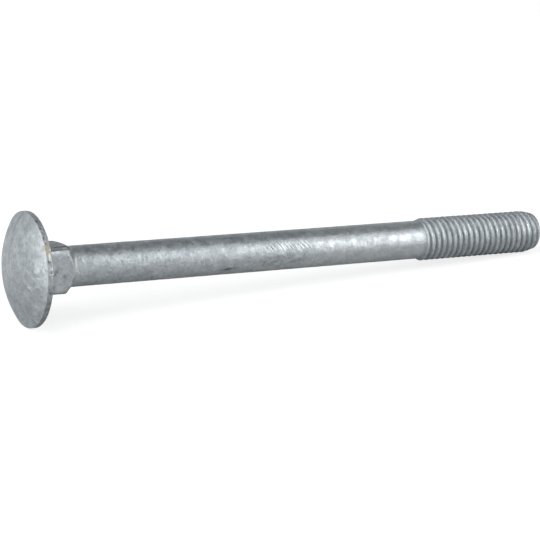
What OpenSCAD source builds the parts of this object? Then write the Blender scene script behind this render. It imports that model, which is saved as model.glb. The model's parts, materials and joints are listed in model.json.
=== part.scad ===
// Carriage bolt: one forging with a domed head, a square neck, a plain shank and a
// rolled thread. It lies as it comes to rest, on the edge of its head and on the
// last crests of its thread, with its axis in the XZ plane. The origin is the centre
// of the bearing face under the head, and the thread points to +X.

/* [Head] */
// Diameter of the domed head
head_d = 24.7; // [22:0.1:28]
// Height of the head over its bearing face
head_h = 5.2; // [4.4:0.1:6.4]
// Height of the straight band round the rim of the head
rim_h = 1.2; // [1:0.05:2]
// Radius that rounds both edges of the rim
rim_round = 0.4; // [0.2:0.05:0.45]

/* [Square neck] */
// Width across the flats of the square neck
neck_w = 9.4; // [9.2:0.05:10.6]
// Radius of the rounded corners of the neck
neck_corner_r = 0.9; // [0.4:0.1:1.5]
// Length from the bearing face over which the corners of the neck are full
neck_full_l = 6; // [4:0.1:7]
// Angle to the axis of the cone that trims the neck down to the shank
neck_cone_deg = 40; // [28:1:45]

/* [Shank and thread] */
// Length from the bearing face to the end of the thread
bolt_l = 127.8; // [80:0.2:160]
// Diameter of the plain shank, near the pitch diameter of the thread
shank_d = 8.85; // [8.4:0.05:9.1]
// Diameter over the thread crests
thread_d = 9.85; // [9.7:0.05:10.1]
// Length of the thread, with its run-out on the shank
thread_l = 32.8; // [20:0.1:60]
// Length over which the thread runs out on the shank
runout_l = 1.2; // [0.8:0.1:4]
// Length of the taper at the end of the thread
taper_l = 2.8; // [1.5:0.1:4]
// Diameter at the small end of that taper
taper_d = 8.8; // [7.8:0.1:9]
// Length and depth of the bevel round the end face
end_bevel = 0.6; // [0.2:0.05:0.8]

/* [As it lies] */
// Turn of the bolt about its axis, from lying with a flat of its neck level
turn_deg = 3.5; // [0:0.5:45]

/* [Hidden] */
$fn = 96;

// Sizes across halved, for the turned shapes
head_r = head_d / 2;
shank_r = shank_d / 2;
thread_r = thread_d / 2;
taper_r = taper_d / 2;

// The sphere of the dome passes through the top of the rim band and the crown
crown_h = head_h - rim_h;
dome_r = (head_r * head_r + crown_h * crown_h) / (2 * crown_h);
dome_z = dome_r - head_h;

// Centre of the round at the outer edge of the rim, tangent inside the dome
round_r = head_r - rim_round;
round_z = dome_z - sqrt(pow(dome_r - rim_round, 2) - round_r * round_r);

// Half the diagonal of the neck over its rounded corners
neck_corner_reach = sqrt(2) * (neck_w / 2 - neck_corner_r) + neck_corner_r;
// Length at which the trimming cone has come down to the shank
neck_l = neck_full_l + (neck_corner_reach - shank_r) / tan(neck_cone_deg);
// How far the neck and its cone run on inside the head and the shank
overlap = 0.2;

// Lengths from the bearing face at which the parts of the thread begin
thread_z = bolt_l - thread_l;
crest_z = thread_z + runout_l;
taper_z = bolt_l - taper_l;

// The line of the floor touches the round under the rim and the last full crest
rest_dx = taper_z + rim_round;
rest_dr = round_r - thread_r;
lie_deg = atan(rest_dr / rest_dx) + asin(rim_round / norm([rest_dx, rest_dr]));

// Half section of the head in radius and height, the crown towards -Y
module head_section() {
    intersection() {
        translate([0, dome_z]) circle(r = dome_r);
        translate([0, -head_h]) square([head_r, head_h]);
        // Leaves the corners of the rim to the rounds
        polygon([
            [0, 0],
            [round_r, 0],
            [head_r, -rim_round],
            [head_r, round_z],
            dome_touch(),
            [0, -2 * head_h]
        ]);
    }
    for (z = [-rim_round, round_z]) translate([round_r, z]) circle(r = rim_round);
}

// Point at which the outer round of the rim touches the dome
function dome_touch() =
    let (reach = dome_r / (dome_r - rim_round))
    [round_r * reach, dome_z + (round_z - dome_z) * reach];

module head() {
    rotate_extrude() head_section();
}

// Square prism with rounded corners, trimmed by a cone where it meets the shank
module neck() {
    flat = neck_w - 2 * neck_corner_r;
    cone_z = neck_l + overlap;
    intersection() {
        translate([0, 0, -overlap]) linear_extrude(height = cone_z + overlap) {
            square([neck_w, flat], center = true);
            square([flat, neck_w], center = true);
            for (x = [-flat / 2, flat / 2], y = [-flat / 2, flat / 2])
                translate([x, y]) circle(r = neck_corner_r);
        }
        translate([0, 0, -overlap])
            cylinder(
                h = cone_z + overlap,
                r1 = shank_r + (neck_l + overlap) * tan(neck_cone_deg),
                r2 = shank_r - overlap * tan(neck_cone_deg)
            );
    }
}

// Shank and thread, which is plain over its crests
module shaft() {
    rotate_extrude() polygon([
        [0, -overlap],
        [shank_r, -overlap],
        [shank_r, thread_z],
        [thread_r, crest_z],
        [thread_r, taper_z],
        [taper_r, bolt_l - end_bevel],
        [taper_r - end_bevel, bolt_l],
        [0, bolt_l]
    ]);
}

module bolt() {
    color([0.55, 0.56, 0.57]) rotate([0, 90 + lie_deg, 0]) rotate([0, 0, -turn_deg]) {
        head();
        neck();
        shaft();
    }
}

bolt();
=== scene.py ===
"""Carriage bolt: the dressed model, its floor, its light and the camera of the photograph.

The bolt is one skin, built ring by ring from the crown of the head to the end face, and
then laid on the floor as the frame has it. Until it is laid, lengths are millimetres
along the axis of the bolt from the bearing face, and millimetres out from that axis.
Angles go round the axis: 90 degrees is the top as the bolt lies, 180 the camera's side.
"""

import json
import math

import bpy
import numpy as np
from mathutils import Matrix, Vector, noise


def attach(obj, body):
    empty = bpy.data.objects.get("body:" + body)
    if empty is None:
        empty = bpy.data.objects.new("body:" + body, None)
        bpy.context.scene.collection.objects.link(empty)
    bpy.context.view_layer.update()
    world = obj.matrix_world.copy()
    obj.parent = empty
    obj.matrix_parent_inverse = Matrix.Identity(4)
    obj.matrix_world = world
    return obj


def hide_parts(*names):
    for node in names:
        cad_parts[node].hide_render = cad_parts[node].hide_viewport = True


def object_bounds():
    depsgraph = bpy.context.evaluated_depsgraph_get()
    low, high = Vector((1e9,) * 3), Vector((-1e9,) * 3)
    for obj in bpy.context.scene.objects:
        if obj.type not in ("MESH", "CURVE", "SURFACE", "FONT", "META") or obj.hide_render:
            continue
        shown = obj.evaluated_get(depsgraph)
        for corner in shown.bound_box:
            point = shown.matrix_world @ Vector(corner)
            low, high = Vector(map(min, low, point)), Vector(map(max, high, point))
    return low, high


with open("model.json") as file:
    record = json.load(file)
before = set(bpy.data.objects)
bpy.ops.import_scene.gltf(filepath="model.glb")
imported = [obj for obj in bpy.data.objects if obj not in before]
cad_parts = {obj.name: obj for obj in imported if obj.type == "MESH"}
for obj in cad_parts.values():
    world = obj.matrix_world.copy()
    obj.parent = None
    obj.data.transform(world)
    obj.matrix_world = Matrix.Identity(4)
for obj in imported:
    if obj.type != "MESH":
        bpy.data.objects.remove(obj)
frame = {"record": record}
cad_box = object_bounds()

MM = 0.001

# Sizes that the frame gives
MOUNTS = {m["name"]: m for m in frame["record"]["mounts"]}
AXIS = Vector(MOUNTS["bearing_face"]["axis"]).normalized()
THREAD_R = MOUNTS["thread_end"]["dims"]["r_mm"]
THREAD_MID = Vector(MOUNTS["thread_end"]["pos_m"]).length / MM
CRESTS_L = MOUNTS["thread_end"]["dims"]["length_mm"]
CREST_START = THREAD_MID - CRESTS_L / 2
TAPER_START = THREAD_MID + CRESTS_L / 2
NECK_FULL_L = 2 * Vector(MOUNTS["square_neck"]["pos_m"]).length / MM
HEAD_R = (cad_box[1].y - cad_box[0].y) / 2 / MM
FLOOR_Z = cad_box[0].z

# Sizes of the forging, as the solid has them
HEAD_H = 5.2
RIM_ROUND = 0.4
NECK_W = 9.4
NECK_CORNER_R = 0.9
NECK_REACH = math.sqrt(2) * (NECK_W / 2 - NECK_CORNER_R) + NECK_CORNER_R
NECK_TURN = math.radians(3.5)
SHANK_R = 4.425
RUNOUT_L = 1.2
TAPER_L = 2.8
TAPER_R = 4.4
END_BEVEL = 0.6
BOLT_L = TAPER_START + TAPER_L
THREAD_START = CREST_START - RUNOUT_L

# What the skin has crisper than the solid, as the photo shows it: a higher band with a
# sharp outer edge on the rim, a later and steeper cone on the neck, and a shorter rise
# from the shank to the blank of the thread
RIM_H = 1.4
RIM_EDGE = 0.12
NECK_CONE = math.tan(math.radians(45))
CONE_LATER = 0.25
CONE_START = NECK_FULL_L + CONE_LATER
CONE_END = CONE_START + (NECK_REACH - SHANK_R) / NECK_CONE
BLANK_RISE_L = 0.6

# The rolled thread: right-hand, with one crest on the floor where the taper begins, and
# flanks that run so far along the axis for each millimetre of their height
PITCH = 1.5
GROOVE_DEPTH = 0.8
CREST_W = 0.32
ROOT_W = 0.06
FLANK_RUN = (PITCH - CREST_W - ROOT_W) / 2 / GROOVE_DEPTH
CREST_AT_FLOOR = TAPER_START - CREST_W / 2
FLOOR_ANGLE = math.radians(270)

# How far forging and zinc round the corners
HEAD_FILLET = 0.35
CONE_SOFT = 0.3
THREAD_SOFT = 0.08

# The dish in the end face, and the share of the way in at which it is full
DISH_DEPTH = 0.25
DISH_FULL_AT = 0.625

# Points in a ring, rings in each stretch, and steps between rings
AROUND = 144
HEAD_AROUND = 2 * AROUND
DOME_RINGS = 34
RIM_EDGE_RINGS = 4
RIM_STEP = 0.12
RIM_ROUND_RINGS = 5
UNDERSIDE_RINGS = 9
FILLET_RINGS = 4
NECK_STEP = 0.2
SHANK_STEP = 0.42
THREAD_STEP = PITCH / 11
BEVEL_RINGS = 4
DISH_RINGS = 8
DISH_REACH = 0.95

# How far in under the head its fine rings end, and how much further the coarse ones begin
FINE_IN = 0.5
COARSE_IN = 0.3

# The underside of the head, with a little for rounding, and where the neck's rings end
UNDER_HEAD = 0.01
NECK_RINGS_TO = CONE_END + 1

# The lap along the neck: a fold at an angle that climbs by degrees for a millimetre,
# between a ridge above it and a lip below it, each with a width in degrees
FOLD_AT = 122
FOLD_CLIMB = 1.5
FOLD_X = 4.5
FOLD_DEPTH = 0.5
FOLD_WIDE = 4
LIP_BESIDE = 9
LIP_HEIGHT = 0.58
LIP_WIDE = 5
RIDGE_BESIDE = -11
RIDGE_HEIGHT = 0.42
RIDGE_WIDE = 8

# Where the lap fades in and out along the neck, and the painted shade in its fold
LAP_FADE_IN = 1.5
LAP_FADE_OUT = 1.2
LAP_END = NECK_FULL_L + 1.9
FOLD_SHADE_BESIDE = -3
FOLD_SHADE_WIDE = 6

# How much later the cone of the neck starts at the lap, and over how many degrees
LAP_LONGER = 0.5
LAP_LONGER_WIDE = 20

# The skin lies this deep in the solid, so that its lumps stay within it
SKIN = 0.03

# The coat of zinc: size and height of its waves and lumps, what coarse lumps add, and
# where along the shank these have faded away, over what length
WAVE_SIZE = 2.6
WAVE_HEIGHT = 0.016
LUMP_SIZE = 0.9
LUMP_HEIGHT = 0.018
COARSE_HEIGHT = 0.012
COARSE_TO = 50
COARSE_FADE = 30

# Pits in the rim, by angle in degrees, place along the axis, size and depth
RIM_PITS = (
    (111, -0.9, 0.38, 0.24),
    (122, -0.9, 0.28, 0.20),
    (128, -1.0, 0.20, 0.16),
    (134, -1.0, 0.30, 0.24),
    (140, -0.9, 0.24, 0.20),
    (159, -1.0, 0.26, 0.24),
    (170, -0.6, 0.22, 0.24),
    (190, -0.7, 0.30, 0.18),
    (201, -0.5, 0.35, 0.10),
)

# Lumps of zinc, by angle in degrees, distance from the axis, size and height
DOME_LUMPS = (
    (165, 9.6, 0.50, 0.17),
    (170, 9.5, 0.50, 0.17),
    (181, 9.3, 0.50, 0.13),
    (195, 8.0, 0.45, 0.17),
    (172, 7.4, 0.50, 0.08),
    (187, 9.9, 0.50, 0.10),
    (193, 9.5, 0.45, 0.10),
    (154, 10.6, 0.70, 0.04),
)

# Round spots, by angle in degrees, place along the axis and size
NECK_SPECKS = (
    (176, 3.6, 0.40),
    (184, 3.3, 0.35),
    (197, 2.2, 0.50),
    (205, 2.6, 0.35),
    (214, 3.1, 0.45),
    (190, 5.6, 0.45),
)
RUST_SPOT = (118, CONE_END - 0.4, 0.9)

# Scuffs on the shank, by angle in degrees, place along the axis, length and width
SHANK_PATCH = (196, 57, 6, 1.5)
SHANK_SCRATCH = (213, 44.5, 1.3, 0.28)
SCRATCH_SLANT = 0.1

# How dark each kind of mark is at its middle, from 0 to 1; pits darken with their depth
PIT_DARK_MOST = 0.7
PIT_DARK_PER_MM = 3.0
# Painted shade on the lower half of the rim's band
RIM_SHADE_DARK = 0.45
SPECK_DARK = 0.5
# Painted shade in the lap's fold
FOLD_SHADE_DARK = 0.75
PATCH_DARK = 0.42
SCRATCH_DARK = 0.95

# Stretches round the axis, by the angle of their middle and their width in degrees
ASH_ON_BAND = (161, 13)
ASH_ON_EDGE = (136, 18)
RIM_RUST = (147, 7)
NECK_HIGHLIGHT_SIDE = (155, 20)
NICKS = (154, 11)

# Ash on the rim: from and to along the axis, size of its flakes, and the line along the
# edge with its width and share
ASH_FROM = -1.0
ASH_TO = 0.1
ASH_FLAKE = 0.6
ASH_LINE_W = 0.14
ASH_LINE_SHARE = 0.7

# Painted highlights: pale lines at the end of the neck and at the root of the shank, width and
# share
END_LINE_W = 0.14
END_LINE_SHARE = 0.45
ROOT_LINE_AT = CONE_END + 0.1
ROOT_LINE_W = 0.22
ROOT_LINE_SHARE = 0.6

# Dullness: by the neck until it has faded along the shank, and on the thread
DULL_BY_NECK = 0.45
DULL_TO = 40
DULL_FADE = 45
DULL_ON_THREAD = 0.8

# Painted light: where along the shank its zinc starts to be painted paler, and over what
# length
PAINTED_LIGHT_FROM = 48
PAINTED_LIGHT_OVER = 30

# The row of nicks along the shank: from and to, their distance, slant and depth
NICKS_FROM = 52
NICKS_TO = 66
NICK_APART = 1.1
NICK_SLANT = (1, 0.3, 0.6)
NICK_DEPTH = 0.05

# Two greys of the zinc, and the values of its clouds at which they lie
CLOUD_SIZE = 2.2
CLOUD_DARK = (0.38, (0.397, 0.43, 0.454))
CLOUD_PALE = (0.64, (0.535, 0.57, 0.589))

# Dark specks and pale flecks, by size and distortion of their texture, the span of its
# values over which they come in, tint and strength
SPECKLES = (
    (0.5, 0.8, (0.55, 0.69), (0.22, 0.235, 0.245), 0.5),
    (0.7, 0.5, (0.56, 0.72), (0.72, 0.74, 0.75), 0.5),
)

# What stains the zinc, or paints light and shade on it, from the lowest layer up, with its
# tint and strength
STAINS = (
    # Painted light, paler along the shank towards the thread
    ("painted_light", (0.75, 0.77, 0.78), 0.2),
    # Painted shade in the grooves of the thread
    ("groove", (0.16, 0.17, 0.175), 0.25),
    ("rust", (0.46, 0.40, 0.31), 0.75),
    # Ash on the rim, and painted highlights on the neck in the same pale tint
    ("ash_and_highlights", (0.86, 0.87, 0.76), 0.85),
    # Dark marks, with painted shade on the rim's lower half and in the lap's fold
    ("dark", (0.035, 0.035, 0.035), 1.0),
)

# How metallic the zinc is without ash or painted highlights and under them, its glossier
# and duller patches with their roughness, and what full dullness adds to that
METALLIC = (0.9, 0.1)
GLOSS_SIZE = 1.5
ROUGHNESS = (0.30, 0.54)
DULLER = 0.14

# The fine grain of the zinc
GRAIN_SIZE = 0.6
GRAIN_DEPTH = 0.1

# The floor: half its width in metres, its paint, and its paint in the view, which is
# darker because the floor's own light comes on top
FLOOR_HALF = 5.0
FLOOR_PAINT = 0.6
FLOOR_PAINT_SEEN = 0.4

# The floor's own light: in the view, and in the zinc from this far beside the bolt
FLOOR_LIFT = 0.76
FLOOR_GLOW = 0.57
FLOOR_GLOW_FROM = 0.1

# Light of the room, and the soft boxes at a distance in metres: by azimuth, elevation,
# size in metres and level
ROOM_COLOUR = (0.168, 0.181, 0.187)
LIGHT_AWAY = 1.3
SOFT_BOXES = {
    "right": (50, 17, (0.84, 0.84), 3.2),
    "right_high": (50, 44, (0.84, 0.42), 1.3),
    "left": (-70, 17, (0.84, 0.84), 4.5),
    "left_back": (-110, 26, (0.84, 0.42), 1.5),
    "top_left": (-70, 66, (1.1, 0.62), 2.4),
    "back_right": (150, 17, (0.84, 0.84), 0.35),
    "back_left": (-150, 17, (0.84, 0.84), 0.35),
}

# The camera that the outline of the bolt in the photograph gives
CAMERA_AT = (-150.185, -382.393, 115.094)
CAMERA_AZIMUTH = -28.4198
CAMERA_ELEVATION = 15.7821
CAMERA_LENS = 134.905


def smooth_step(t):
    t = np.clip(t, 0, 1)
    return t * t * (3 - 2 * t)


def rises(value, start, over):
    """From 0 up to the start of a span to 1 past it, smoothly."""
    return smooth_step((value - start) / over)


def falls(value, end, over):
    """From 1 before a span to 0 from its end on, smoothly."""
    return smooth_step((end - value) / over)


def soft_min(a, b, width):
    """The smaller of two radii, blended over a width where they cross."""
    h = np.clip(0.5 + (b - a) / (2 * width), 0, 1)
    return b + (a - b) * h - width * h * (1 - h)


def soft_max(a, b, width):
    return -soft_min(-a, -b, width)


def bump_at(distance, width):
    return np.exp(-((distance / width) ** 2))


def spot(along, across, size):
    """Share of a round spot, by the distances from its middle."""
    return bump_at(np.hypot(along, across), size)


def angle_from(angle, degrees):
    """Signed turn in radians from a place given in degrees."""
    return np.mod(angle - np.radians(degrees) + math.pi, math.tau) - math.pi


def towards(angle, degrees, wide):
    """Share of a stretch round the axis that fades out from its middle."""
    return bump_at(angle_from(angle, degrees), math.radians(wide))


def spread(start, end, count):
    """A number of evenly spaced values after start, the last of them at end."""
    return [start + (end - start) * i / count for i in range(1, count + 1)]


def steps(start, end, step):
    """Evenly spaced places after start, at most a step apart, the last of them at end."""
    return spread(start, end, max(1, math.ceil((end - start) / step - 1e-6)))


def square_radius(angle):
    """Distance from the axis to a square with rounded corners, at an angle round it."""
    flat = NECK_W / 2 - NECK_CORNER_R
    turned = np.mod(angle - NECK_TURN, math.pi / 2)
    off_face = np.minimum(turned, math.pi / 2 - turned)
    face = NECK_W / 2 / np.cos(off_face)
    off_corner = math.pi / 4 - off_face
    centre = flat * math.sqrt(2)
    across = centre * np.sin(off_corner)
    rounded = np.sqrt(np.maximum(NECK_CORNER_R**2 - across**2, 0))
    corner = centre * np.cos(off_corner) + rounded
    return np.where(NECK_W / 2 * np.tan(off_face) <= flat, face, corner)


def lap_share(x, angle, beside, wide):
    """How fully a line of the lap lies at a place, some degrees beside its fold."""
    centre = FOLD_AT + beside - FOLD_CLIMB * (x - FOLD_X)
    along = rises(x, 0, LAP_FADE_IN) * falls(x, LAP_END, LAP_FADE_OUT)
    return along * towards(angle, centre, wide)


def cone_radius(x, angle):
    """The cone that trims the neck, which starts later at the lap."""
    start = CONE_START + LAP_LONGER * towards(angle, FOLD_AT, LAP_LONGER_WIDE)
    return NECK_REACH - (x - start) * NECK_CONE


def neck_radius(x, angle):
    """The square neck with the lap along its upper near corner, and its trimming cone."""
    lap = LIP_HEIGHT * lap_share(x, angle, LIP_BESIDE, LIP_WIDE)
    lap += RIDGE_HEIGHT * lap_share(x, angle, RIDGE_BESIDE, RIDGE_WIDE)
    lap -= FOLD_DEPTH * lap_share(x, angle, 0, FOLD_WIDE)
    trimmed = soft_min(square_radius(angle) + lap, cone_radius(x, angle), CONE_SOFT)
    return soft_max(trimmed, SHANK_R, CONE_SOFT)


def groove_radius(x, angle):
    """Radius of the helical groove and its flanks, with its run-out on the shank."""
    turns = (angle - FLOOR_ANGLE) / math.tau
    pitches = (x - CREST_AT_FLOOR) / PITCH - turns
    middle = (np.floor(pitches) + 0.5 + turns) * PITCH + CREST_AT_FLOOR
    shallower = GROOVE_DEPTH * np.clip((CREST_START - middle) / RUNOUT_L, 0, 1)
    bottom = THREAD_R - GROOVE_DEPTH + shallower
    flank = bottom + (np.abs(x - middle) - ROOT_W / 2) / FLANK_RUN
    return soft_max(flank, bottom, THREAD_SOFT)


def thread_radius(x, angle):
    """Radius of the thread on its blank, with the taper at the end."""
    rise = np.clip((x - CREST_START) / BLANK_RISE_L + 1, 0, 1)
    blank = SHANK_R + (THREAD_R - SHANK_R) * rise
    slope = (THREAD_R - TAPER_R) / (TAPER_L - END_BEVEL)
    taper = THREAD_R - slope * (x - TAPER_START)
    cut = soft_min(blank, groove_radius(x, angle), THREAD_SOFT)
    return soft_min(cut, taper, THREAD_SOFT)


def dome_rings():
    """Rings from near the crown down the dome and over the outer edge of the rim."""
    crown_h = HEAD_H - RIM_H
    dome_r = (HEAD_R**2 + crown_h**2) / (2 * crown_h)
    centre = dome_r - HEAD_H
    round_r = HEAD_R - RIM_EDGE
    round_x = centre - math.sqrt((dome_r - RIM_EDGE) ** 2 - round_r**2)
    touch = math.asin(round_r / (dome_r - RIM_EDGE))
    rings = []
    for a in spread(0, touch, DOME_RINGS):
        rings.append((centre - dome_r * math.cos(a), dome_r * math.sin(a)))
    for a in spread(touch, math.pi / 2, RIM_EDGE_RINGS):
        x = round_x - RIM_EDGE * math.cos(a)
        rings.append((x, round_r + RIM_EDGE * math.sin(a)))
    return rings


def rim_rings(top_x):
    """Rings down the band of the rim, round its lower edge and in under the head."""
    rings = [(x, HEAD_R) for x in steps(top_x, -RIM_ROUND, RIM_STEP)]
    for a in spread(0, math.pi / 2, RIM_ROUND_RINGS):
        out = HEAD_R - RIM_ROUND * (1 - math.cos(a))
        rings.append((RIM_ROUND * (math.sin(a) - 1), out))
    rings.append((0, HEAD_R - RIM_ROUND - FINE_IN))
    return rings


def head_grid():
    rings = dome_rings()
    rings += rim_rings(rings[-1][0])
    x, r = np.array(rings).T
    flat = np.zeros(HEAD_AROUND)
    return x[:, None] + flat, r[:, None] + flat


def underside_rings(angle, outer):
    """Rings in to the foot of the neck, and up its fillet."""
    foot = square_radius(angle) + HEAD_FILLET
    rings = [(0, r) for r in spread(outer, foot, UNDERSIDE_RINGS)]
    for a in spread(0, math.pi / 2, FILLET_RINGS):
        x = HEAD_FILLET * (1 - math.cos(a))
        rings.append((x, foot - HEAD_FILLET * math.sin(a)))
    return rings


def end_rings(edge):
    """Rings round the bevel of the end and in over its dished face."""
    rings = []
    for a in spread(0, math.pi / 2, BEVEL_RINGS):
        x = BOLT_L - END_BEVEL * (1 - math.sin(a))
        rings.append((x, edge - END_BEVEL * (1 - math.cos(a))))
    lip = rings[-1][1]
    for t in spread(0, DISH_REACH, DISH_RINGS):
        rings.append((BOLT_L - DISH_DEPTH * rises(t, 0, DISH_FULL_AT), lip * (1 - t)))
    return rings


def body_grid(angle, outer):
    """Rings from under the head along the neck, shank and thread to the end face."""
    rings = underside_rings(angle, outer)
    for x in steps(HEAD_FILLET, NECK_RINGS_TO, NECK_STEP):
        rings.append((x, neck_radius(x, angle)))
    for x in steps(NECK_RINGS_TO, THREAD_START, SHANK_STEP):
        rings.append((x, SHANK_R))
    for x in steps(THREAD_START, BOLT_L - END_BEVEL, THREAD_STEP):
        rings.append((x, thread_radius(x, angle)))
    rings += end_rings(rings[-1][1])
    flat = np.zeros(AROUND)
    return np.array([x + flat for x, r in rings]), np.array([r + flat for x, r in rings])


def in_space(x, r, angle):
    return np.stack([x, r * np.cos(angle), r * np.sin(angle)], -1)


def grid_normals(points):
    """Outward normals of a grid of closed rings, from its neighbours."""
    along = np.empty_like(points)
    along[1:-1] = points[2:] - points[:-2]
    along[0] = points[1] - points[0]
    along[-1] = points[-1] - points[-2]
    round_it = np.roll(points, -1, 1) - np.roll(points, 1, 1)
    normal = np.cross(round_it, along)
    return normal / np.maximum(np.linalg.norm(normal, axis=2, keepdims=True), 1e-9)


def lumps(points, size, seed, octaves=3):
    """Fractal noise from about -1 to 1 with lumps of a size, at each point."""
    shift = Vector((17.3 * seed, -9.1 * seed, 5.7 * seed))
    flat = points.reshape(-1, 3) / size
    values = [noise.fractal(Vector(p) + shift, 1.0, 2.0, octaves) for p in flat]
    return np.array(values).reshape(points.shape[:-1])


def dome_lumps(x, r, angle):
    """Height of the lumps of zinc on the dome."""
    height = np.zeros_like(x)
    for degrees, out, size, tall in DOME_LUMPS:
        height += tall * spot(r - out, r * angle_from(angle, degrees), size)
    return height * (x < -RIM_H)


def rim_pits(x, r, angle):
    """Depth of the pits in the band of the rim."""
    depth = np.zeros_like(x)
    for degrees, place, size, deep in RIM_PITS:
        depth += deep * spot(x - place, HEAD_R * angle_from(angle, degrees), size)
    return depth * rises(r, HEAD_R - 1.2, 0.6)


def zinc_height(points, x):
    """Height of the zinc coat's waves and lumps, which are coarser behind the neck."""
    coarse = rises(x, CONE_END, 2) * falls(x, COARSE_TO, COARSE_FADE)
    height = WAVE_HEIGHT * lumps(points, WAVE_SIZE, 1)
    height += (LUMP_HEIGHT + COARSE_HEIGHT * coarse) * lumps(points, LUMP_SIZE, 2)
    return height


def rim_deposit(points, x, angle):
    """Share of pale dried zinc ash on the band of the rim and along its outer edge."""
    near = smooth_step(1.9 * towards(angle, *ASH_ON_BAND))
    band = near * rises(x, ASH_FROM, 0.25) * falls(x, ASH_TO, 0.2)
    edge = towards(angle, *ASH_ON_EDGE) * bump_at(x + RIM_H, ASH_LINE_W)
    flaky = rises(lumps(points, ASH_FLAKE, 9, 2), -0.05, 0.3)
    return (band + ASH_LINE_SHARE * edge) * flaky


def neck_painted_highlights(x, angle):
    """Share of painted highlights: pale lines along the end of the near face, and round the
    shank's root.
    """
    end = bump_at(square_radius(angle) - cone_radius(x, angle), END_LINE_W)
    root = bump_at(x - ROOT_LINE_AT, ROOT_LINE_W)
    near = towards(angle, *NECK_HIGHLIGHT_SIDE) * (x > NECK_FULL_L)
    return near * (END_LINE_SHARE * end + ROOT_LINE_SHARE * root)


def rim_painted_shade(points, x, r, angle):
    """Share of painted shade, grey and mottled, on the lower half of the rim's band."""
    band = rises(r, HEAD_R - 0.25, 0.15) * rises(x, -RIM_H, 0.15)
    low = smooth_step(0.5 - 0.9 * np.sin(angle)) * smooth_step(1 - 1.5 * np.cos(angle))
    rough = 0.8 + 0.3 * lumps(points, 0.9, 14, 2)
    return RIM_SHADE_DARK * band * low * rough


def neck_specks_and_fold_shade(x, angle):
    """Share of dirt in the specks of the neck's near face, and of painted shade along the
    lap's fold.
    """
    specks = np.zeros_like(x)
    for degrees, place, size in NECK_SPECKS:
        specks += spot(x - place, NECK_W / 2 * angle_from(angle, degrees), size)
    fold = lap_share(x, angle, FOLD_SHADE_BESIDE, FOLD_SHADE_WIDE)
    return SPECK_DARK * specks + FOLD_SHADE_DARK * fold


def shank_scuffs(points, x, angle):
    """Dark scuffs: one patch and one scratch on the near side of the shank."""
    degrees, place, long, wide = SHANK_PATCH
    side = SHANK_R * angle_from(angle, degrees)
    rough = rises(lumps(points, 0.8, 11), -0.15, 0.5)
    patch = spot((x - place) / long, side / wide, 1) * rough
    degrees, place, long, wide = SHANK_SCRATCH
    side = SHANK_R * angle_from(angle, degrees) + SCRATCH_SLANT * (x - place)
    scratch = spot((x - place) / long, side / wide, 1)
    return PATCH_DARK * patch + SCRATCH_DARK * scratch


def rust_share(x, r, angle, on_head):
    """Share of rust tint in a spot at the end of the neck, and on the rim."""
    degrees, place, size = RUST_SPOT
    on_neck = spot(x - place, SHANK_R * angle_from(angle, degrees), size)
    on_rim = on_head * towards(angle, *RIM_RUST) * rises(r, HEAD_R - 0.35, 0.2)
    return on_neck + on_rim


def shank_nicks(x, angle):
    """Where a row of slanting nicks crosses the near side of the shank."""
    return rises(x, NICKS_FROM, 3) * falls(x, NICKS_TO, 3) * towards(angle, *NICKS)


def groove_painted_shade(x, r):
    """Painted shade in the thread's groove: how deep a point lies in it, from near a crest to
    the bottom.
    """
    in_thread = (x > THREAD_START + 0.4) * (x < BOLT_L - END_BEVEL)
    return in_thread * falls(r, THREAD_R - 0.25, GROOVE_DEPTH - 0.3)


def dull_share(x):
    """How much duller the zinc is than on the shank: on the head, neck and thread."""
    on_head = falls(x, 0.2, 0.2)
    by_neck = DULL_BY_NECK * falls(x, DULL_TO, DULL_FADE)
    on_thread = DULL_ON_THREAD * rises(x, THREAD_START - 1, 2)
    return np.maximum(np.maximum(on_head, by_neck), on_thread)


def stain_shares(points, x, r, angle, pits):
    """The share of each stain, of painted light and of painted shade at each point, from 0 to
    1.
    """
    on_head = (x < UNDER_HEAD) * 1.0
    on_body = 1 - on_head
    on_neck = (x > HEAD_FILLET) * (x < CONE_END)
    dark = np.clip(PIT_DARK_PER_MM * pits, 0, PIT_DARK_MOST)
    # Painted shade on the rim's lower half
    dark += on_head * rim_painted_shade(points, x, r, angle)
    # Dirt in the neck's specks, and painted shade in the lap's fold
    dark += on_neck * neck_specks_and_fold_shade(x, angle)
    dark += on_body * shank_scuffs(points, x, angle)
    # Real ash on the rim, and painted highlights on the neck in the same pale tint
    ash_and_highlights = on_head * rim_deposit(points, x, angle) + on_body * neck_painted_highlights(x, angle)
    return {
        "dark": np.clip(dark, 0, 1),
        "ash_and_highlights": np.clip(ash_and_highlights, 0, 1) * (1 - np.clip(4 * pits, 0, 1)),
        "rust": np.clip(rust_share(x, r, angle, on_head), 0, 1),
        # Painted shade in the grooves of the thread
        "groove": groove_painted_shade(x, r),
        "dull": dull_share(x),
        "nicks": shank_nicks(x, angle),
        # Painted light: the shank paler towards the thread
        "painted_light": rises(x, PAINTED_LIGHT_FROM, PAINTED_LIGHT_OVER) * (x < THREAD_START),
    }


def finish_grid(x, r, angle):
    """Points of a grid with their wear, and the shares of each stain on them."""
    points = in_space(x, r, angle)
    pits = rim_pits(x, r, angle)
    height = dome_lumps(x, r, angle) - pits + zinc_height(points, x) - SKIN
    stains = stain_shares(points, x, r, angle, pits)
    return points + grid_normals(points) * height[..., None], stains


def lay(points):
    """From the axis of the bolt and millimetres to the frame and metres."""
    across = Vector((0, 1, 0))
    up = AXIS.cross(across)
    return points @ np.array([AXIS, across, up]) * MM


def grid_faces(rows, around, first):
    faces = []
    for i in range(rows - 1):
        a = first + i * around
        b = a + around
        for j in range(around):
            k = (j + 1) % around
            faces.append((a + j, b + j, b + k, a + k))
    return faces


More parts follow.
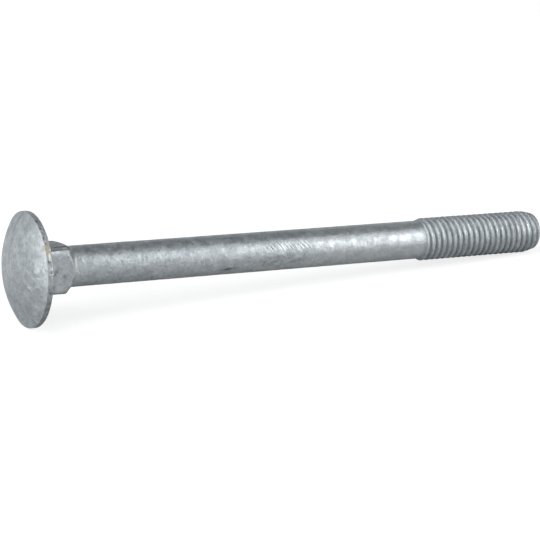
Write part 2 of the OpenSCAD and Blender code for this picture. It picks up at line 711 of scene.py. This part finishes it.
def join_faces(fine, coarse):
    """Faces from a ring of the head to one with half its points."""
    faces = []
    for j in range(AROUND):
        k = (j + 1) % AROUND
        a, b, c = fine + 2 * j, fine + 2 * j + 1, fine + 2 * k
        faces.append((a, coarse + j, coarse + k, c, b))
    return faces


def fan_faces(centre, first, around, outward):
    faces = []
    for j in range(around):
        a, b = first + j, first + (j + 1) % around
        faces.append((centre, a, b) if outward else (centre, b, a))
    return faces


def skin_faces(head_rows, body_rows):
    """Faces of the head, its join to the body, the body, the crown and the end."""
    body_first = head_rows * HEAD_AROUND
    crown = body_first + body_rows * AROUND
    faces = grid_faces(head_rows, HEAD_AROUND, 0)
    faces += join_faces(body_first - HEAD_AROUND, body_first)
    faces += grid_faces(body_rows, AROUND, body_first)
    faces += fan_faces(crown, 0, HEAD_AROUND, True)
    faces += fan_faces(crown + 1, crown - AROUND, AROUND, False)
    return faces


def skin_mesh():
    """The whole skin as one mesh, with the share of each stain at its points."""
    head_angle = np.linspace(0, math.tau, HEAD_AROUND, endpoint=False)
    body_angle = head_angle[::2]
    head_x, head_r = head_grid()
    body_x, body_r = body_grid(body_angle, head_r[-1, 0] - COARSE_IN)
    head, head_stains = finish_grid(head_x, head_r, head_angle)
    body, body_stains = finish_grid(body_x, body_r, body_angle)
    crown = [SKIN - HEAD_H, 0, 0]
    end = [body[-1, :, 0].mean(), 0, 0]
    verts = lay(np.concatenate([head.reshape(-1, 3), body.reshape(-1, 3), [crown, end]]))
    mesh = bpy.data.meshes.new("bolt_skin")
    mesh.from_pydata(verts.tolist(), [], skin_faces(len(head), len(body)))
    mesh.shade_smooth()
    for name, share in head_stains.items():
        values = np.concatenate([share.ravel(), body_stains[name].ravel(), [0, 0]])
        layer = mesh.attributes.new(name, "FLOAT", "POINT")
        layer.data.foreach_set("value", values.astype(np.float32))
    return mesh


def new_material(name):
    material = bpy.data.materials.new(name)
    material.use_nodes = True
    nodes = material.node_tree.nodes
    nodes.clear()
    return material, nodes, material.node_tree.links


def math_node(nodes, links, operation, first, second):
    """A Math node between two sockets, or a socket and a number."""
    node = nodes.new("ShaderNodeMath")
    node.operation = operation
    for socket, value in zip(node.inputs, (first, second)):
        if isinstance(value, (int, float)):
            socket.default_value = value
        else:
            links.new(value, socket)
    return node.outputs[0]


def mapped(nodes, links, value, span, result, kind="LINEAR"):
    """A value carried from one span of values to another."""
    node = nodes.new("ShaderNodeMapRange")
    node.interpolation_type = kind
    names = ("From Min", "From Max", "To Min", "To Max")
    for name, number in zip(names, (*span, *result)):
        node.inputs[name].default_value = number
    links.new(value, node.inputs["Value"])
    return node.outputs["Result"]


def mixed(nodes, links, colour, tint, amount):
    """A colour mixed towards a tint by an amount."""
    mix = nodes.new("ShaderNodeMix")
    mix.data_type = "RGBA"
    links.new(amount, mix.inputs["Factor"])
    links.new(colour, mix.inputs["A"])
    mix.inputs["B"].default_value = (*tint, 1)
    return mix.outputs["Result"]


def share_of(nodes, stain):
    """The share of a stain that the skin carries at its points."""
    node = nodes.new("ShaderNodeAttribute")
    node.attribute_name = stain
    return node.outputs["Fac"]


def zinc_noise(nodes, links, size_mm, detail, distortion=0.0):
    texture = nodes.new("ShaderNodeTexNoise")
    texture.inputs["Scale"].default_value = 1 / (size_mm * MM)
    texture.inputs["Detail"].default_value = detail
    texture.inputs["Distortion"].default_value = distortion
    place = nodes.new("ShaderNodeTexCoord")
    links.new(place.outputs["Object"], texture.inputs["Vector"])
    return texture.outputs["Fac"]


def ramp(nodes, links, value, low, high):
    """Colour from one stop to another; each stop is a position and a colour."""
    node = nodes.new("ShaderNodeValToRGB")
    for element, (position, colour) in zip(node.color_ramp.elements, (low, high)):
        element.position = position
        element.color = (*colour, 1)
    links.new(value, node.inputs["Fac"])
    return node.outputs["Color"]


def slanting_nicks(nodes, links):
    """Height of ragged waves that slant over the shank, only where its nicks lie."""
    place = nodes.new("ShaderNodeTexCoord")
    along = nodes.new("ShaderNodeVectorMath")
    along.operation = "DOT_PRODUCT"
    along.inputs[1].default_value = NICK_SLANT
    links.new(place.outputs["Object"], along.inputs[0])
    waves = nodes.new("ShaderNodeTexWave")
    # At a scale of 1 this texture has its waves a twentieth of tau apart
    waves.inputs["Scale"].default_value = math.tau / 20 / (NICK_APART * MM)
    waves.inputs["Distortion"].default_value = 5
    waves.inputs["Detail"].default_value = 2
    waves.inputs["Detail Scale"].default_value = 2
    links.new(along.outputs["Value"], waves.inputs["Vector"])
    return math_node(nodes, links, "MULTIPLY", waves.outputs["Fac"], share_of(nodes, "nicks"))


def zinc_colour(nodes, links):
    """Clouds of two greys, with specks and flecks, and the stains, painted light and painted
    shade over them.
    """
    clouds = zinc_noise(nodes, links, CLOUD_SIZE, 6, 0.6)
    colour = ramp(nodes, links, clouds, CLOUD_DARK, CLOUD_PALE)
    for size, distortion, span, tint, strength in SPECKLES:
        texture = zinc_noise(nodes, links, size, 3, distortion)
        amount = mapped(nodes, links, texture, span, (0, strength), "SMOOTHSTEP")
        colour = mixed(nodes, links, colour, tint, amount)
    for stain, tint, strength in STAINS:
        amount = math_node(nodes, links, "MULTIPLY", share_of(nodes, stain), strength)
        colour = mixed(nodes, links, colour, tint, amount)
    return colour


def zinc_roughness(nodes, links):
    """Glossier and duller patches, duller still on the head, neck and thread."""
    patches = zinc_noise(nodes, links, GLOSS_SIZE, 3)
    gloss = mapped(nodes, links, patches, (0.3, 0.7), ROUGHNESS)
    duller = math_node(nodes, links, "MULTIPLY", share_of(nodes, "dull"), DULLER)
    return math_node(nodes, links, "ADD", gloss, duller)


def relief(nodes, links, height, strength, depth_mm):
    """A Bump node with its height linked."""
    bump = nodes.new("ShaderNodeBump")
    bump.inputs["Strength"].default_value = strength
    bump.inputs["Distance"].default_value = depth_mm * MM
    links.new(height, bump.inputs["Height"])
    return bump


def zinc_relief(nodes, links):
    """The fine grain of the zinc, with the nicks over it."""
    grain = zinc_noise(nodes, links, GRAIN_SIZE, 4)
    bump = relief(nodes, links, grain, 0.5, GRAIN_DEPTH)
    nicked = relief(nodes, links, slanting_nicks(nodes, links), 0.8, NICK_DEPTH)
    links.new(bump.outputs["Normal"], nicked.inputs["Normal"])
    return nicked.outputs["Normal"]


def galvanised():
    """Dull zinc with clouds, fine grain, ash, rust and dark marks, darker in its pits, with
    painted shade in its grooves and painted light and highlights.
    """
    material, nodes, links = new_material("galvanised_steel")
    out = nodes.new("ShaderNodeOutputMaterial")
    shader = nodes.new("ShaderNodeBsdfPrincipled")
    metal = mapped(nodes, links, share_of(nodes, "ash_and_highlights"), (0, 1), METALLIC)
    links.new(zinc_colour(nodes, links), shader.inputs["Base Color"])
    links.new(metal, shader.inputs["Metallic"])
    links.new(zinc_roughness(nodes, links), shader.inputs["Roughness"])
    links.new(zinc_relief(nodes, links), shader.inputs["Normal"])
    links.new(shader.outputs["BSDF"], out.inputs["Surface"])
    return material


def make_bolt():
    mesh = skin_mesh()
    mesh.materials.append(galvanised())
    bolt = bpy.data.objects.new("galvanised_bolt", mesh)
    bpy.context.scene.collection.objects.link(bolt)
    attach(bolt, "root")
    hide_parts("bolt")


def floor_paint(nodes, links, in_view):
    """Matt paint, which is darker in the view than where it lights the bolt."""
    paint = nodes.new("ShaderNodeMix")
    paint.data_type = "RGBA"
    paint.inputs["A"].default_value = (FLOOR_PAINT, FLOOR_PAINT, FLOOR_PAINT, 1)
    paint.inputs["B"].default_value = (FLOOR_PAINT_SEEN, FLOOR_PAINT_SEEN, FLOOR_PAINT_SEEN, 1)
    links.new(in_view, paint.inputs["Factor"])
    matt = nodes.new("ShaderNodeBsdfDiffuse")
    links.new(paint.outputs["Result"], matt.inputs["Color"])
    return matt.outputs[0]


def floor_glow(nodes, links, ray):
    """The floor's own light in the view, and in the zinc from some way beside the bolt."""
    place = nodes.new("ShaderNodeNewGeometry")
    axes = nodes.new("ShaderNodeSeparateXYZ")
    links.new(place.outputs["Position"], axes.inputs["Vector"])
    beside = math_node(nodes, links, "ABSOLUTE", axes.outputs["Y"], 0)
    away = mapped(nodes, links, beside, (0, FLOOR_GLOW_FROM), (0, 1), "SMOOTHSTEP")
    far = math_node(nodes, links, "MULTIPLY", away, FLOOR_GLOW)
    glossy, through = ray.outputs["Is Glossy Ray"], ray.outputs["Is Transmission Ray"]
    mirrored = math_node(nodes, links, "MAXIMUM", glossy, through)
    in_zinc = math_node(nodes, links, "MULTIPLY", far, mirrored)
    in_view = math_node(nodes, links, "MULTIPLY", ray.outputs["Is Camera Ray"], FLOOR_LIFT)
    glow = nodes.new("ShaderNodeEmission")
    links.new(math_node(nodes, links, "ADD", in_zinc, in_view), glow.inputs["Strength"])
    return glow.outputs[0]


def pale_floor():
    """Paint that is lit up to white in the view, with the shadow of the bolt left on it."""
    material, nodes, links = new_material("pale_floor")
    out = nodes.new("ShaderNodeOutputMaterial")
    ray = nodes.new("ShaderNodeLightPath")
    both = nodes.new("ShaderNodeAddShader")
    links.new(floor_paint(nodes, links, ray.outputs["Is Camera Ray"]), both.inputs[0])
    links.new(floor_glow(nodes, links, ray), both.inputs[1])
    links.new(both.outputs[0], out.inputs["Surface"])
    return material


def make_floor():
    mesh = bpy.data.meshes.new("floor")
    signs = ((-1, -1), (1, -1), (1, 1), (-1, 1))
    corners = [(FLOOR_HALF * a, FLOOR_HALF * b, FLOOR_Z) for a, b in signs]
    mesh.from_pydata(corners, [], [(0, 1, 2, 3)])
    mesh.materials.append(pale_floor())
    floor = bpy.data.objects.new("floor", mesh)
    bpy.context.scene.collection.objects.link(floor)


def direction(azimuth, elevation):
    """From the bolt outwards; azimuth 0 is the camera's side, 90 the thread's end."""
    a, e = math.radians(azimuth), math.radians(elevation)
    return Vector((math.sin(a) * math.cos(e), -math.cos(a) * math.cos(e), math.sin(e)))


def softbox(name, azimuth, elevation, size, level):
    """A soft light facing the middle of the bolt; a level of 1 is as bright as white."""
    lamp = bpy.data.lights.new(name, "AREA")
    lamp.shape = "RECTANGLE"
    lamp.size, lamp.size_y = size
    lamp.energy = level * math.pi * size[0] * size[1]
    box = bpy.data.objects.new(name, lamp)
    way = direction(azimuth, elevation)
    box.location = Vector((BOLT_L / 2 * MM, 0, 0)) + way * LIGHT_AWAY
    box.rotation_mode = "QUATERNION"
    box.rotation_quaternion = (-way).to_track_quat("-Z", "Y")
    bpy.context.scene.collection.objects.link(box)


def make_light():
    world = bpy.data.worlds.new("studio")
    bpy.context.scene.world = world
    world.use_nodes = True
    room = world.node_tree.nodes["Background"]
    room.inputs["Color"].default_value = (*ROOM_COLOUR, 1)
    for name, box in SOFT_BOXES.items():
        softbox(name, *box)


def make_camera():
    data = bpy.data.cameras.new("camera")
    data.lens = CAMERA_LENS
    data.sensor_width = 36
    data.clip_start, data.clip_end = 0.01, 50
    camera = bpy.data.objects.new("camera", data)
    camera.location = Vector(CAMERA_AT) * MM
    back = direction(CAMERA_AZIMUTH, CAMERA_ELEVATION)
    camera.rotation_mode = "QUATERNION"
    camera.rotation_quaternion = (-back).to_track_quat("-Z", "Y")
    bpy.context.scene.collection.objects.link(camera)
    bpy.context.scene.camera = camera


make_camera()
make_bolt()
make_floor()
make_light()
bpy.context.scene.view_settings.view_transform = "Standard"
